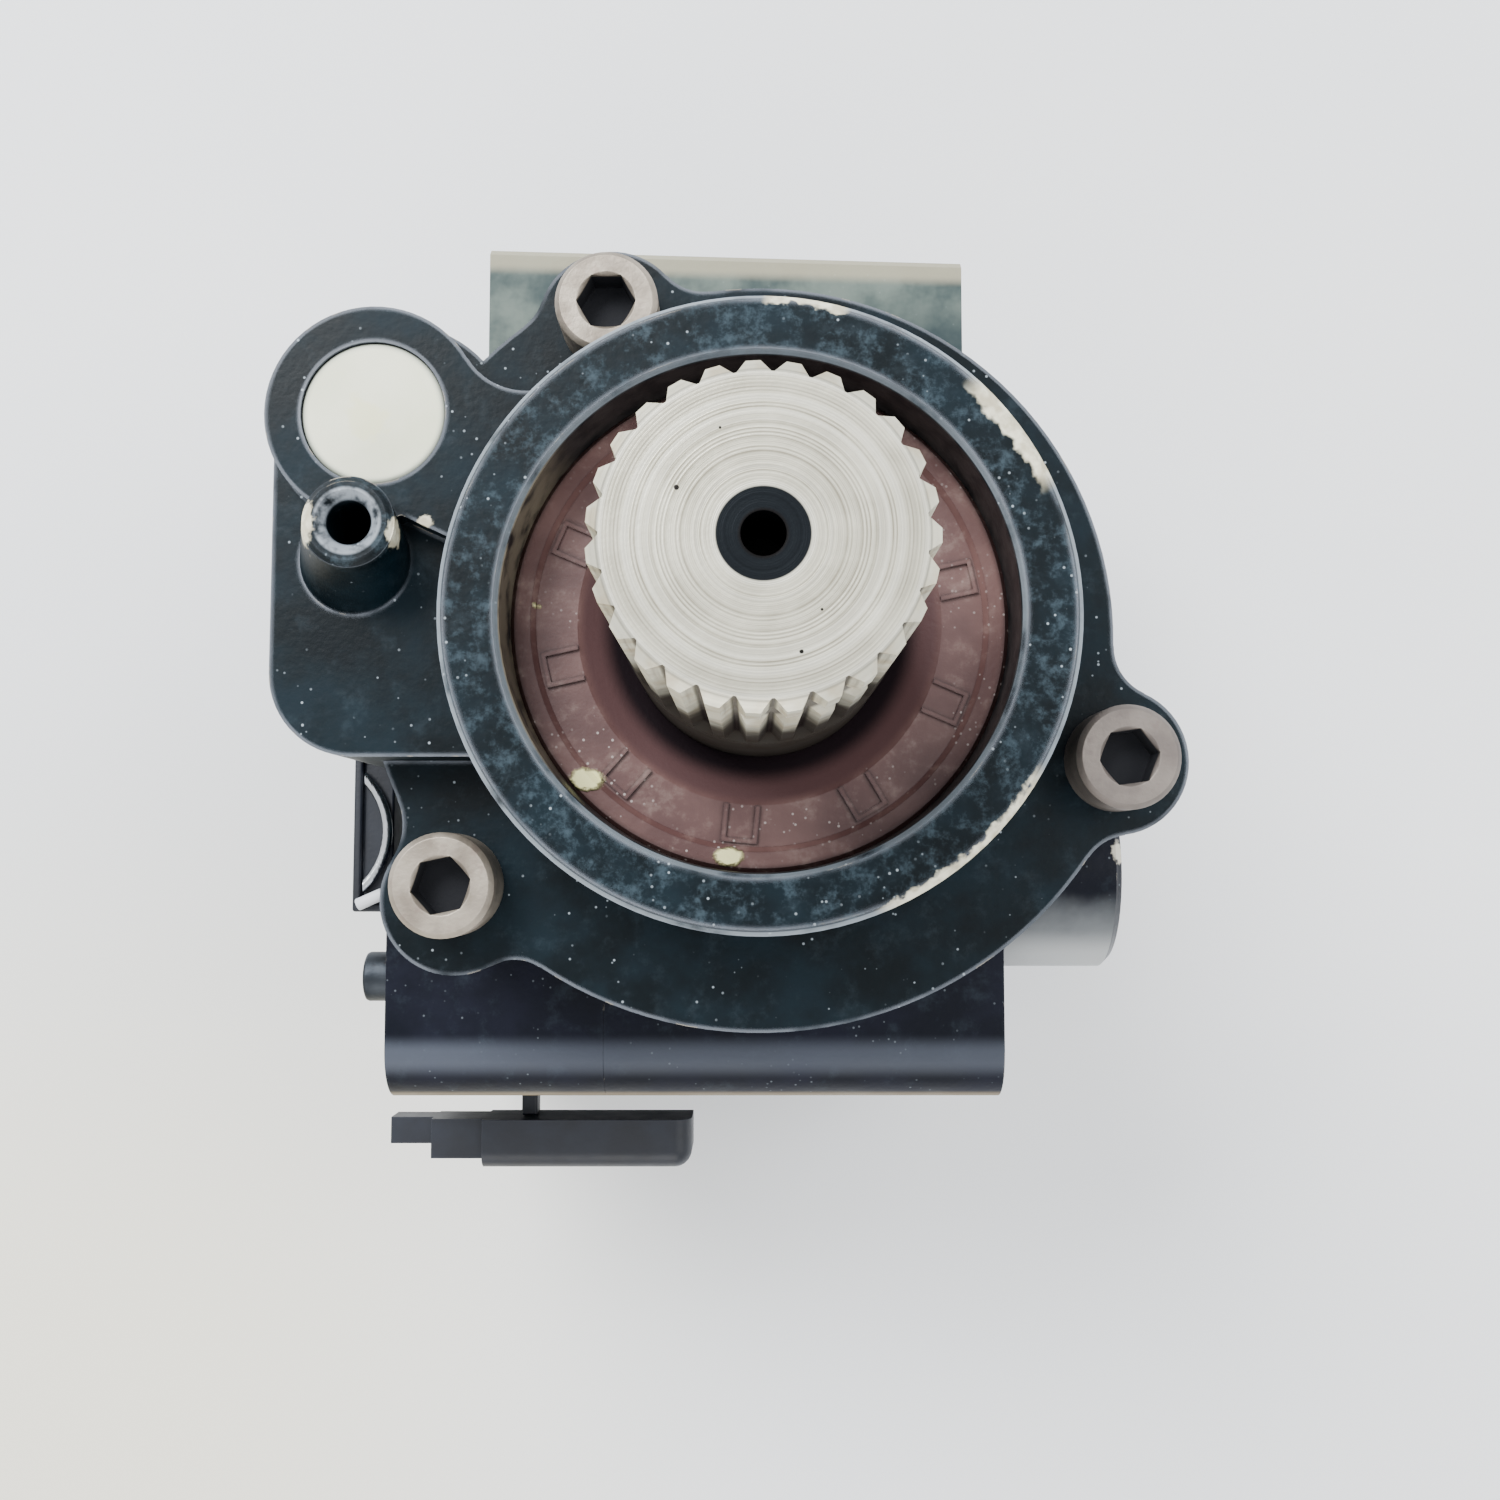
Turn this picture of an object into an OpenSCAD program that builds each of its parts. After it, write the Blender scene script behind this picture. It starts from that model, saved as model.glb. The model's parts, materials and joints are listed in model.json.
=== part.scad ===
// Flange-mounted geared drive unit with a splined output shaft.
// Origin: on the output shaft axis, in the front face of the flange, at the foot of the pilot ring.
// +Z runs out along the shaft, +Y towards the upper block, -Y towards the control housing.

/* [Output shaft] */
// Outside diameter of the spline
spline_d = 24.8; // [24.2:0.1:24.9]
// Number of spline teeth
spline_teeth = 27; // [24:1:30]
// Height of the shaft's end face above the flange
shaft_top = 45.2; // [42:0.2:50]
// Height where the spline teeth stop
spline_foot = 19.5; // [17:0.5:22]
// Diameter of the journal that runs in the seal and the bearings
journal_d = 25; // [24.96:0.01:25.02]
// Diameter of the centre hole's mouth
centre_mouth_d = 6.7; // [6:0.1:7.5]
// Diameter of the centre hole's pilot
centre_pilot_d = 3.2; // [3:0.1:3.4]

/* [Front cover] */
// Outside diameter of the pilot ring
pilot_d = 58.2; // [57:0.1:60]
// Height of the pilot ring above the flange
pilot_h = 13.9; // [12:0.1:15]
// Bore for the seal and the front bearing
seat_d = 47; // [47:0.01:47.05]
// Radius of the round flange on its lower side
flange_r = 39; // [38:0.1:39.6]
// Radius of the round flange on its upper side
flange_top_r = 35; // [34.5:0.1:36]
// Thickness of the cover
cover_t = 16; // [15.5:0.5:17]
// Radius of the ears round the screws
ear_r = 7.3; // [7:0.1:8]
// Height of the arm above the flange
arm_z = 6; // [5:0.5:7]
// Height of the lobe above the flange
lobe_z = 9; // [8:0.5:10]
// Height of the tapered post above the flange
post_z = 14; // [13:0.5:15]
// Diameter of the bore in the post
post_bore_d = 4.1; // [3.6:0.1:4.4]
// Diameter of the plug in the lobe
plug_d = 13.6; // [13:0.1:14]

/* [Gears] */
// Module of the planetary stage
planet_m = 1.2; // [1.2:0.01:1.21]
// Teeth of the sun gear
sun_z = 15; // [15:15:15]
// Teeth of each planet gear
planet_z = 15; // [15:15:15]
// Module of the take-off pair
take_m = 0.8; // [0.8:0.01:0.8]
// Teeth of the take-off gear on the output shaft
take_z = 82; // [82:1:82]
// Teeth of the take-off pinion
pinion_z = 21; // [21:1:21]
// Pressure angle of every gear
press_a = 25; // [25:1:25]
// Thinning of each tooth, for running backlash
thinning = 0.12; // [0.1:0.01:0.16]

/* [Rear block] */
// Height of the rear block's front face
block_front = -25; // [-26:0.5:-24]
// Height of the joint between gear housing and motor housing
block_joint = -46; // [-46.5:0.5:-46]
// Height of the joint between the housings and the rear cover
block_rear = -92; // [-94:0.5:-91]
// Thickness of the rear cover
rear_t = 4; // [4:0.5:6]
// Left side of the upper block
upper_x0 = -31.5; // [-32:0.5:-31]
// Right side of the upper block
upper_x1 = 24; // [24:0.5:25]
// Top side of the upper block, at its right corner
upper_y1 = 48.1; // [47:0.1:50]
// Rise of the upper block's top side towards the left
upper_rise = 1.6; // [0.4:0.2:2]
// Left side of the control housing
lower_x0 = -42.3; // [-43:0.1:-42]
// Right side of the control housing
lower_x1 = 28; // [27:0.5:29]
// Bottom side of the control housing
lower_y0 = -49.6; // [-50:0.1:-49]
// Rounding of the control housing's front edge
lower_round = 6; // [4:0.5:7]
// Seam between control housing and terminal housing
seam_x = -17.5; // [-19:0.5:-16]

/* [Hidden] */
$fn = 96;
eps = 0.01;

// Screw places on the flange
screw_a = [-14.8, 31.5];
screw_b = [-29.9, -24.7];
screw_c = [34.9, -12.6];
SCREWS = [screw_a, screw_b, screw_c];
EARS = [screw_a, [-29.7, -26.2], screw_c];
screw_r = 3;
screw_head_r = 5;
screw_head_h = 6;
screw_len = 22;
hex_af = 5;

// Gears
sun_c = planet_m * (sun_z + planet_z) / 2;
ring_z = sun_z + 2 * planet_z;
take_c = take_m * (take_z + pinion_z) / 2;
lobe_a = 151.7;
lobe_p = [take_c * cos(lobe_a), take_c * sin(lobe_a)];
lobe_r = 10.2;
lobe_base_r = 11.8;
plug_r = plug_d / 2;

// Levels along the shaft axis
seal_z0 = 0;
pilot_relief = 0.4;
land_z0 = lobe_z + 0.3;
shoulder_z = -2;
bearing_w = 12;
bearing_z0 = shoulder_z - bearing_w;
circlip_t = 1.2;
gasket_t = 0.8;
cover_back = -cover_t;
gear_front = cover_back - gasket_t;
carrier_z1 = -22.6;
carrier_z0 = -27;
planet_z1 = -27.6;
planet_z0 = -38.4;
ring_z1 = -27;
ring_z0 = -39;
plate_z1 = -39;
plate_z0 = -43;
take_z1 = -39.6;
take_z0 = plate_z0;
hub_z0 = -50;
ear_z0 = -24.4;
carrier_r = 25;
pin_r = 3;
bush_r = 4;
gear_body_r = 37.5;
ring_gear_r = 32;
hub_bore_r = 7;
hub_r = 16;
take_room_r = 34.2;
pinion_room_r = 9.7;
pinion_shaft_r = 3;
pinion_bush_r = 4.5;
flange_z0 = block_joint - 4.6;
pinion_z0 = -51.6;

// Bearings: [bore radius, inner shoulder, outer shoulder, outside radius, width, ball radius, count]
FRONT = [12.5, 15.8, 20.2, 23.5, 12, 3.3, 10];
REAR = [12.5, 14.5, 16.5, 18.5, 6.6, 1.7, 18];
MOTOR = [4, 6.1, 8.9, 11, 7, 1.95, 8];
ball_gap = 0.06;
front_mid = shoulder_z - bearing_w / 2;
rear_mid = plate_z0 - 0.3 - REAR[4] / 2;
motor_mid_1 = -57.5;
motor_mid_2 = -87;

// Motor
shaft_r = 4;
rotor_r = 11;
magnet_r = 12.8;
stator_in = 13.6;
stator_out = 20.8;
stator_z0 = -80;
stator_z1 = -64;
stator_room_z1 = -62;
shaft_room_r = 9.5;
hub_room_r = 13.2;
slots = 9;

// Walls and corners of the rear block
wall = 2.6;
chamfer_side = 1.1;
rear_face = block_rear - rear_t;
upper_y0 = -23.5;
lower_y1 = -23.5;
bolt_r = 2;
bolt_head_r = 3.5;
BOLTS = [[-27.3, 44], [19.8, 44], [-38, -45.2], [23.7, -45.2]];

// Connector
conn_x0 = -34.5;
conn_x1 = -8.2;
conn_y0 = -60.8;
conn_y1 = -54.7;
conn_z0 = -52;
conn_z1 = -44;
conn_wall = 0.9;
conn_floor = 3;
conn_r = 2.2;
pin_x0 = -31;
pin_pitch = 3.9;

// Side cap
cap_y = -23.5;
cap_z = -36.5;
cap_r = 11.5;
cap_x1 = 41.8;

// ---- Helpers -------------------------------------------------------------

// Third corner of a triangle with sides ra from a and rb from b, left of the line a to b
function third(a, b, ra, rb, side) =
  let (
    d = norm(b - a),
    u = (b - a) / d,
    k = (ra * ra - rb * rb + d * d) / (2 * d),
    h = sqrt(ra * ra - k * k)
  )
  a + k * u + side * h * [-u[1], u[0]];

// Concave blend of radius f between a circle ra at a and a circle rb at b, on one side
module blend(a, b, ra, rb, f, side) {
  c = third(a, b, ra + f, rb + f, side);
  difference() {
    polygon(side > 0 ? [a, b, c] : [a, c, b]);
    translate(c) circle(r = f - 0.04);
  }
}

// Involute of a base circle at roll angle t, in degrees
function involute(rb, t) = rb * [cos(t) + t * PI / 180 * sin(t), sin(t) - t * PI / 180 * cos(t)];

// Roll angle at which the involute of base circle rb reaches radius r
function roll(rb, r) = r <= rb ? 0 : sqrt(r * r / (rb * rb) - 1) * 180 / PI;

// Polar angle of the involute at radius r
function inv_angle(rb, r) = let (p = involute(rb, roll(rb, r))) atan2(p[1], p[0]);

// Half of the tooth's angle at radius r, for z teeth of module m thinned by t
function half_angle(z, m, t, r) =
  let (rp = m * z / 2, rb = rp * cos(press_a))
  90 / z - t / 2 / rp * 180 / PI + inv_angle(rb, rp) - inv_angle(rb, max(r, rb));

// Outline of a gear: z teeth, module m, between root radius r0 and tip radius r1
function gear_points(z, m, t, r0, r1, steps) = [
  for (k = [0 : z - 1])
    for (s = [-1, 1])
      for (j = [0 : steps])
        let (
          r = s < 0 ? r0 + (r1 - r0) * j / steps : r1 - (r1 - r0) * j / steps,
          a = 360 * k / z + s * half_angle(z, m, t, r)
        )
        r * [cos(a), sin(a)]
];

module gear_outline(z, m, t, steps) {
  polygon(gear_points(z, m, t, m * (z / 2 - 1.25), m * (z / 2 + 1), steps));
}

// Plain ring between two radii and two levels
module ring(r0, r1, z0, z1) {
  difference() {
    translate([0, 0, z0]) cylinder(r = r1, h = z1 - z0);
    translate([0, 0, z0 - 1]) cylinder(r = r0, h = z1 - z0 + 2);
  }
}

// Box between two corners
module block(a, b) {
  translate(a) cube(b - a);
}

// Race of a ball bearing between radii r0 and r1, centred on level z
module race(b, r0, r1, z) {
  pitch = (b[1] + b[2]) / 2;
  difference() {
    ring(r0, r1, z - b[4] / 2, z + b[4] / 2);
    rotate_extrude() translate([pitch, z]) circle(r = b[5] + ball_gap);
  }
}

module balls(b, z) {
  pitch = (b[1] + b[2]) / 2;
  for (k = [0 : b[6] - 1]) {
    rotate([0, 0, 360 * k / b[6]]) translate([pitch, 0, z]) sphere(r = b[5], $fn = 32);
  }
}

// Socket cap screw pointing down, head seated at the origin
module cap_screw(r, head_r, head_h, len, af) {
  difference() {
    union() {
      cylinder(r = head_r, h = head_h - 0.5);
      translate([0, 0, head_h - 0.5]) cylinder(r1 = head_r, r2 = head_r - 0.5, h = 0.5);
      translate([0, 0, -len]) cylinder(r = r, h = len + eps);
    }
    translate([0, 0, head_h * 0.45]) cylinder(d = af / cos(30), h = head_h, $fn = 6);
    translate([0, 0, head_h - 0.35]) cylinder(r1 = af / 2, r2 = af / 2 + 0.6, h = 0.6);
  }
}

// ---- Outlines -------------------------------------------------------------

// Round flange with a larger radius on its lower side and beside the lobe
module flange_round() {
  circle(r = flange_top_r);
  intersection() {
    circle(r = flange_r);
    rotate([0, 0, -25]) translate([-60, -60]) square([120, 60]);
  }
  intersection() {
    circle(r = flange_r);
    polygon([[0, 0], [-22, 60], [-60, 60], [-60, -60], [0, -60]]);
  }
}

// The three ears and their blends into the flange
module ears() {
  for (p = EARS) translate(p) circle(r = ear_r);
  blend([0, 0], EARS[0], flange_r, ear_r, 5, 1);
  blend([0, 0], EARS[0], flange_top_r, ear_r, 5, -1);
  blend([0, 0], EARS[1], flange_r, ear_r, 4.5, 1);
  blend([0, 0], EARS[1], flange_r, ear_r, 6, -1);
  blend([0, 0], EARS[2], flange_top_r, ear_r, 5, 1);
  blend([0, 0], EARS[2], flange_r, ear_r, 5, -1);
}

arm_x0 = -46.4;
arm_y0 = -12.6;
arm_round = 8;

// Arm on the left, with one large round corner
module arm_outline() {
  translate([arm_x0 + arm_round, arm_y0 + arm_round]) circle(r = arm_round);
  translate([arm_x0, arm_y0 + arm_round]) square([30, 22]);
  translate([arm_x0 + arm_round, arm_y0]) square([24, 20]);
}

// Lobe and its neck into the pilot ring
module lobe_outline() {
  translate(lobe_p) circle(r = lobe_r);
  blend([0, 0], lobe_p, pilot_d / 2, lobe_r, 6.5, -1);
  polygon([lobe_p, lobe_p + [2.5, -9.6], [-27.5, 7], [-20, 8], [-20, 20]]);
}

// Upper block from level y0 to its top side, which rises to the left
module upper_outline(y0) {
  polygon([[upper_x0, y0], [upper_x1, y0], [upper_x1, upper_y1], [upper_x0, upper_y1 + upper_rise]]);
}

// Ears of the gear housing, under those of the cover
module gear_ears() {
  r = ear_r - 0.6;
  for (p = EARS) {
    translate(p) circle(r = r);
    blend([0, 0], p, gear_body_r, r, 6, 1);
    blend([0, 0], p, gear_body_r, r, 6, -1);
  }
}

// ---- Front end ------------------------------------------------------------

module front_cover() color("#20282e") {
  difference() {
    union() {
      translate([0, 0, -cover_t]) linear_extrude(cover_t) {
        flange_round();
        ears();
      }
      translate([0, 0, -cover_t]) linear_extrude(cover_t + arm_z) arm_outline();
      translate([0, 0, -cover_t]) linear_extrude(cover_t + lobe_z) lobe_outline();
      translate([lobe_p[0], lobe_p[1], -cover_t]) cylinder(r = lobe_base_r, h = cover_t);
      post();
      // pilot ring, relieved below its land
      cylinder(r = pilot_d / 2 - pilot_relief, h = pilot_h - 0.6);
      translate([0, 0, land_z0]) cylinder(r = pilot_d / 2, h = pilot_h - 0.6 - land_z0);
      translate([0, 0, pilot_h - 0.6]) cylinder(r1 = pilot_d / 2, r2 = pilot_d / 2 - 0.6, h = 0.6);
    }
    // bore for the seal, with a lead-in at its mouth
    translate([0, 0, seal_z0]) cylinder(d = seat_d, h = 30);
    translate([0, 0, pilot_h - 0.5]) cylinder(r1 = seat_d / 2, r2 = seat_d / 2 + 0.6, h = 0.6);
    // clearance of the shaft in the shoulder
    translate([0, 0, -40]) cylinder(r = 20, h = 60);
    // seat of the front bearing, and the groove of its circlip
    translate([0, 0, -40]) cylinder(d = seat_d, h = 40 + shoulder_z);
    translate([0, 0, bearing_z0 - circlip_t]) cylinder(r = seat_d / 2 + 1.1, h = circlip_t);
    // screw holes
    for (p = SCREWS) translate([p[0], p[1], -50]) cylinder(r = screw_r + 0.3, h = 60);
    // bore in the post
    translate([post_p[0], post_p[1], 1]) cylinder(d = post_bore_d, h = 30);
    translate([post_p[0], post_p[1], post_z - 0.8])
      cylinder(r1 = post_bore_d / 2, r2 = post_bore_d / 2 + 1, h = 1);
    // bore under the plug, and the bush of the take-off pinion
    translate([lobe_p[0], lobe_p[1], -5]) cylinder(r = plug_r, h = 30);
    translate([lobe_p[0], lobe_p[1], -40]) cylinder(r = pinion_bush_r, h = 40);
  }
}

post_p = [-37.2, 8.1];
post_foot = [-38.6, 5.9];

// Tapered post that leans out of the arm
module post() {
  hull() {
    translate([post_p[0], post_p[1], post_z - 0.7]) cylinder(r = 4.2, h = 0.1, $fn = 48);
    translate([post_foot[0], post_foot[1], arm_z - 1]) cylinder(r = 5.4, h = 0.1, $fn = 48);
  }
  translate([post_p[0], post_p[1], post_z - 0.7]) cylinder(r1 = 4.2, r2 = 3.6, h = 0.7);
}

module bore_plug() color("#e6e6da") {
  translate([lobe_p[0], lobe_p[1], 5.4]) {
    cylinder(r = plug_r, h = lobe_z - 5.4 - 0.5);
    translate([0, 0, lobe_z - 5.4 - 0.5]) cylinder(r1 = plug_r, r2 = plug_r - 0.3, h = 0.3);
  }
}

seal_lip_r = journal_d / 2 + 0.03;
seal_ribs = 10;
seal_rib_a = 12.6;
rib_w = 0.45;
rib_h = 0.5;

// Rubber body of the shaft seal, with the moulded ribs on its face
module shaft_seal() color("#6d4a45") {
  difference() {
    union() {
      rotate_extrude() {
        polygon([
          [seal_lip_r, 4.4], [seal_lip_r, 3.4], [14.6, 1], [16.4, 1], [16.4, 4.8],
          [22.6, 4.8], [22.6, 0.4], [23.4, 0], [seat_d / 2, 0.4],
          [seat_d / 2, 6.5], [23.1, 7], [21.6, 7], [21.1, 6.5], [17.2, 6.5], [16.3, 6.1]
        ]);
      }
      for (k = [0 : seal_ribs - 1]) {
        rotate([0, 0, 360 * k / seal_ribs + seal_rib_a]) {
          translate([17.2, -1.7, 6.3]) cube([3.6, rib_w, rib_h]);
          translate([17.2, 1.7 - rib_w, 6.3]) cube([3.6, rib_w, rib_h]);
          translate([20.8 - rib_w, -1.7, 6.3]) cube([rib_w, 3.4, rib_h]);
        }
      }
    }
    translate([0, 0, -1]) cylinder(r = seal_lip_r, h = 20);
    // channel of the garter spring
    rotate_extrude() translate([15.5, 2.9]) circle(r = 0.75, $fn = 24);
  }
}

module seal_case() color("#8b8f92") {
  ring(20.6, 22.6, 0.4, 1.4);
  ring(21.6, 22.6, 1.4 - eps, 4.8);
}

module seal_garter_spring() color("#b9bcbf") {
  rotate_extrude() translate([15.5, 2.9]) circle(r = 0.7, $fn = 24);
}

module cover_screws() color("#b3a99a") {
  for (k = [0 : 2]) {
    translate([SCREWS[k][0], SCREWS[k][1], 0]) rotate([0, 0, [0, 12, 8][k]])
      cap_screw(screw_r, screw_head_r, screw_head_h, screw_len, hex_af);
  }
}

module cover_gasket() color("#3a3f3c") {
  translate([0, 0, gear_front]) linear_extrude(gasket_t) {
    difference() {
      union() {
        circle(r = gear_body_r);
        for (p = SCREWS) translate(p) circle(r = ear_r - 0.6);
        translate(lobe_p) circle(r = lobe_base_r);
      }
      circle(r = seat_d / 2 + 1.5);
      translate(lobe_p) circle(r = pinion_bush_r + 0.3);
      for (p = SCREWS) translate(p) circle(r = screw_r + 0.3);
    }
  }
}

module bearing_circlip() color("#56595c") {
  difference() {
    ring(21.3, seat_d / 2 + 1, bearing_z0 - circlip_t, bearing_z0 - 0.05);
    translate([0, -2.5, bearing_z0 - 3]) cube([40, 5, 6]);
  }
}

module front_bearing_outer_ring() color("#c3c6c8") race(FRONT, FRONT[2], FRONT[3], front_mid);

module front_bearing_inner_ring() color("#c3c6c8") race(FRONT, FRONT[0], FRONT[1], front_mid);

module front_bearing_balls() color("#d8dadb") balls(FRONT, front_mid);

module front_bearing_cage() color("#b08d4f") {
  difference() {
    ring(17.2, 18.8, front_mid - 2.6, front_mid + 2.6);
    for (k = [0 : FRONT[6] - 1]) {
      rotate([0, 0, 360 * k / FRONT[6]]) translate([18, 0, front_mid]) sphere(r = FRONT[5] + 0.1, $fn = 32);
    }
  }
}

// ---- Output shaft and carrier ----------------------------------------------

spline_root_r = spline_d / 2 - 0.97;
notch_a = -73;

// One polygon with a flat-topped tooth per pitch
module spline_outline() {
  p = 360 / spline_teeth;
  polygon([
    for (k = [0 : spline_teeth - 1])
      for (q = [[spline_root_r, -0.46], [spline_d / 2, -0.18], [spline_d / 2, 0.18], [spline_root_r, 0.46]])
        q[0] * [cos(p * (k + q[1])), sin(p * (k + q[1]))]
  ]);
}

module output_shaft() color("#b9bab3") {
  difference() {
    union() {
      intersection() {
        translate([0, 0, spline_foot - 1]) linear_extrude(shaft_top - spline_foot + 1) spline_outline();
        // end chamfer
        rotate_extrude() polygon([
          [0, spline_foot - 2], [14, spline_foot - 2], [14, shaft_top - 1.8],
          [spline_root_r - 0.8, shaft_top + 0.54], [0, shaft_top + 0.54]
        ]);
      }
      translate([0, 0, bearing_z0 - 0.4]) cylinder(d = journal_d, h = spline_foot - bearing_z0 + 0.4);
      translate([0, 0, spline_foot - eps]) cylinder(r1 = journal_d / 2, r2 = spline_root_r - 0.4, h = 1.6);
      // shoulder under the front bearing, and front plate of the carrier
      translate([0, 0, carrier_z0]) cylinder(r = hub_r, h = bearing_z0 - 0.4 - carrier_z0);
      translate([0, 0, carrier_z0]) cylinder(r = carrier_r, h = carrier_z1 - carrier_z0);
      // three webs that carry the rear plate
      for (k = [0 : 2]) rotate([0, 0, 60 + 120 * k]) web();
    }
    // centre hole
    translate([0, 0, shaft_top - centre_cone_h])
      cylinder(d1 = centre_pilot_d, d2 = centre_mouth_d, h = centre_cone_h);
    translate([0, 0, shaft_top - 9]) cylinder(d = centre_pilot_d, h = 10);
    // notch for a pinch bolt
    rotate([0, 0, notch_a]) translate([13.7, 0, shaft_top - 7.3]) rotate([90, 0, 0])
      cylinder(r = 3, h = 40, center = true);
    // bore over the end of the sun gear
    translate([0, 0, carrier_z0 - 1]) cylinder(r = hub_bore_r, h = 8);
    // holes for the planet pins
    for (k = [0 : 2]) rotate([0, 0, 120 * k]) translate([sun_c, 0, carrier_z0 - 1]) cylinder(r = pin_r, h = 4.9);
  }
}

centre_cone_h = (centre_mouth_d - centre_pilot_d) / 2 / tan(30);

// Web between two planets
module web() {
  intersection() {
    translate([15.5, -3.4, plate_z1]) cube([8, 6.8, carrier_z0 - plate_z1 + eps]);
    translate([0, 0, -60]) cylinder(r = 23, h = 60);
  }
}

module takeoff_gear() color("#8f9499") {
  difference() {
    translate([0, 0, take_z0]) linear_extrude(take_z1 - take_z0)
      rotate([0, 0, lobe_a]) gear_outline(take_z, take_m, thinning, 2);
    translate([0, 0, take_z0 - 1]) cylinder(r = carrier_r, h = 10);
  }
}

module carrier_rear_plate() color("#9ba0a4") {
  difference() {
    union() {
      translate([0, 0, plate_z0]) cylinder(r = carrier_r, h = plate_z1 - plate_z0);
      translate([0, 0, hub_z0]) cylinder(r = REAR[0], h = plate_z0 - hub_z0 + eps);
    }
    translate([0, 0, hub_z0 - 1]) cylinder(r = hub_bore_r, h = 20);
    for (k = [0 : 2]) rotate([0, 0, 120 * k]) translate([sun_c, 0, plate_z0 - 1]) cylinder(r = pin_r, h = 9);
  }
}

module planet_pins() color("#d0d2d3") {
  for (k = [0 : 2]) rotate([0, 0, 120 * k]) translate([sun_c, 0, plate_z0])
    cylinder(r = pin_r, h = carrier_z0 + 3.9 - plate_z0);
}

// Planet gear k and its bush
module planet(k) {
  a = 120 * k;
  rotate([0, 0, a]) translate([sun_c, 0, planet_z0]) difference() {
    linear_extrude(planet_z1 - planet_z0) gear_outline(planet_z, planet_m, thinning, 4);
    translate([0, 0, -1]) cylinder(r = bush_r, h = 20);
  }
}

module bush(k) {
  a = 120 * k;
  rotate([0, 0, a]) translate([sun_c, 0, 0]) ring(pin_r + 0.04, bush_r, planet_z0, planet_z1);
}

module planet_gear_1() color("#a4a8ab") planet(0);

module planet_gear_2() color("#a4a8ab") planet(1);

module planet_gear_3() color("#a4a8ab") planet(2);

module planet_bush_1() color("#b8874a") bush(0);

module planet_bush_2() color("#b8874a") bush(1);

module planet_bush_3() color("#b8874a") bush(2);

module ring_gear() color("#7d8286") {
  difference() {
    translate([0, 0, ring_z0]) cylinder(r = ring_gear_r, h = ring_z1 - ring_z0);
    translate([0, 0, ring_z0 - 1]) linear_extrude(ring_z1 - ring_z0 + 2)
      polygon(gear_points(ring_z, planet_m, -thinning,
        planet_m * (ring_z / 2 - 1), planet_m * (ring_z / 2 + 1.3), 3));
  }
}

module gear_housing() color("#232b31") {
  difference() {
    union() {
      translate([0, 0, block_joint]) cylinder(r = gear_body_r, h = gear_front - block_joint);
      translate([0, 0, ear_z0]) linear_extrude(gear_front - ear_z0) gear_ears();
      translate([lobe_p[0], lobe_p[1], block_joint]) cylinder(r = lobe_base_r, h = gear_front - block_joint);
      translate([0, 0, block_joint]) linear_extrude(block_front - block_joint) upper_outline(0);
    }
    // chamfer along the top edge of the upper block
    translate([upper_x1, upper_y1, block_front]) rotate([0, 0, -atan(upper_rise / (upper_x1 - upper_x0))])
      rotate([45, 0, 0]) cube([200, chamfer_side, chamfer_side], center = true);
    // chamber of the take-off pair, open to the rear, and the pinion's shaft
    translate([0, 0, block_joint - 1]) cylinder(r = take_room_r, h = take_z1 + 0.4 - block_joint + 1);
    translate([lobe_p[0], lobe_p[1], block_joint - 1])
      cylinder(r = pinion_room_r, h = take_z1 + 0.4 - block_joint + 1);
    translate([lobe_p[0], lobe_p[1], take_z1]) cylinder(r = pinion_bush_r, h = 30);
    // seat of the ring gear, room for the carrier's front plate and for its shoulder
    translate([0, 0, block_joint]) cylinder(r = ring_gear_r, h = ring_z1 - block_joint);
    translate([0, 0, ring_z1 - 1]) cylinder(r = carrier_r + 1, h = carrier_z1 + 0.6 - ring_z1 + 1);
    translate([0, 0, ring_z1]) cylinder(r = hub_r + 0.6, h = 20);
    // screw holes
    for (p = SCREWS) translate([p[0], p[1], -screw_len - 1]) cylinder(r = screw_r, h = 20);
    // threads of the tie bolts
    for (p = [BOLTS[0], BOLTS[1]]) translate([p[0], p[1], block_joint - 1]) cylinder(r = bolt_r, h = 13);
  }
}

module rear_bearing_outer_ring() color("#c3c6c8") race(REAR, REAR[2], REAR[3], rear_mid);

module rear_bearing_inner_ring() color("#c3c6c8") race(REAR, REAR[0], REAR[1], rear_mid);

module rear_bearing_balls() color("#d8dadb") balls(REAR, rear_mid);

// ---- Take-off to the position sensor ----------------------------------------

module takeoff_pinion() color("#a4a8ab") {
  translate([lobe_p[0], lobe_p[1], 0]) {
    translate([0, 0, take_z0]) linear_extrude(take_z1 - take_z0)
      rotate([0, 0, lobe_a + 180 + 180 / pinion_z]) gear_outline(pinion_z, take_m, thinning, 3);
    translate([0, 0, pinion_z0]) cylinder(r = pinion_shaft_r, h = -5 - pinion_z0);
    translate([0, 0, -5.1]) cylinder(r = 1.5, h = 1.4);
  }
}

module pinion_bushes() color("#b8874a") {
  translate([lobe_p[0], lobe_p[1], 0]) {
    ring(pinion_shaft_r + 0.04, pinion_bush_r, -15.8, -6);
    ring(pinion_shaft_r + 0.04, pinion_bush_r, pinion_z0 - 0.2, block_joint);
  }
}

module encoder_magnet() color("#5b5f63") {
  translate([lobe_p[0], lobe_p[1], 0]) difference() {
    translate([0, 0, -4.6]) cylinder(r = 3.5, h = 3);
    translate([0, 0, -5]) cylinder(r = 1.5, h = 1.3);
  }
}

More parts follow.
